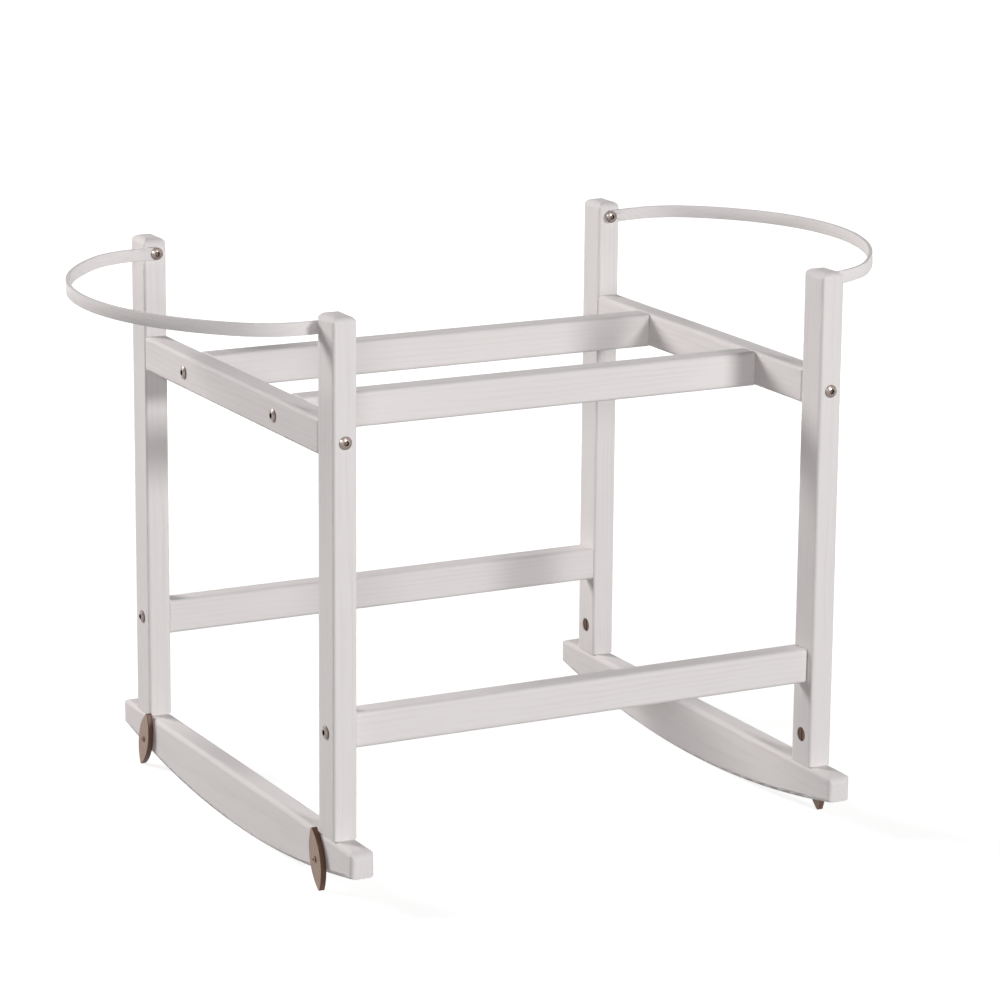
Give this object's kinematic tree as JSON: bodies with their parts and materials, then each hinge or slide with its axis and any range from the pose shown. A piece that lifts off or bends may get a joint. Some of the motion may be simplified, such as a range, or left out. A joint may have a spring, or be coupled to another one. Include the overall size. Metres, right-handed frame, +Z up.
{
  "type": "moses basket stand",
  "caption": "Rocking timber stand for a moses basket: legs on curved rockers, rails that carry the basket, a bent-wood hoop round each end and swing-down stops that lock the rocking.",
  "frame": {"origin": "on the floor under the middle of the stand", "axes": "+X along the length of the basket, +Y from front to back, +Z up"},
  "size_m": [0.8557, 0.575, 0.5709],
  "materials": {
    "painted_timber": "white satin paint over softwood",
    "painted_bentwood": "white satin paint over bent wood",
    "brown_wood": "brown satin varnish",
    "bright_steel": "plated steel, a little tarnished",
    "bronzed_steel": "dark bronzed steel",
    "dull_steel": "dull zinc plate",
    "bare_wood": "bare hardwood"
  },
  "bodies": {
    "frame": {"leg_front_left": "painted_timber", "leg_front_right": "painted_timber", "leg_back_left": "painted_timber", "leg_back_right": "painted_timber", "rocker_left": "painted_timber", "rocker_right": "painted_timber", "lower_rail_front": "painted_timber", "lower_rail_back": "painted_timber", "end_rail_left": "painted_timber", "end_rail_right": "painted_timber", "basket_rail_front": "painted_timber", "basket_rail_back": "painted_timber", "end_hoop_left": "painted_bentwood", "end_hoop_right": "painted_bentwood", "stop_pivot_screws": "bronzed_steel", "end_rail_bolts": "bright_steel", "basket_rail_bolts": "bright_steel", "lower_rail_bolts": "bright_steel", "rocker_bolts": "bright_steel", "hoop_bolts": "bright_steel", "end_rail_nuts": "bronzed_steel", "basket_rail_nuts": "bronzed_steel", "lower_rail_nuts": "bronzed_steel", "leg_nuts": "bronzed_steel", "hoop_inserts": "dull_steel", "end_rail_dowels": "bare_wood", "basket_rail_dowels": "bare_wood", "lower_rail_dowels": "bare_wood", "leg_dowels": "bare_wood"},
    "stop_front_left": {"rocker_stop_front_left": "brown_wood"},
    "stop_front_right": {"rocker_stop_front_right": "brown_wood"},
    "stop_back_left": {"rocker_stop_back_left": "brown_wood"},
    "stop_back_right": {"rocker_stop_back_right": "brown_wood"}
  },
  "joints": [
    {"name": "stop_front_left_swing", "type": "hinge", "parent": "frame", "child": "stop_front_left", "pos_m": [-0.2847, -0.2175, 0.03029], "axis": [-1, 0, 0], "range_deg": [0, 73.5]},
    {"name": "stop_front_right_swing", "type": "hinge", "parent": "frame", "child": "stop_front_right", "pos_m": [0.2847, -0.2175, 0.03029], "axis": [-1, 0, 0], "range_deg": [0, 73.5]},
    {"name": "stop_back_left_swing", "type": "hinge", "parent": "frame", "child": "stop_back_left", "pos_m": [-0.2847, 0.2175, 0.03029], "axis": [1, 0, 0], "range_deg": [0, 73.5]},
    {"name": "stop_back_right_swing", "type": "hinge", "parent": "frame", "child": "stop_back_right", "pos_m": [0.2847, 0.2175, 0.03029], "axis": [-1, 0, 0], "range_deg": [0, 73.5]}
  ]
}
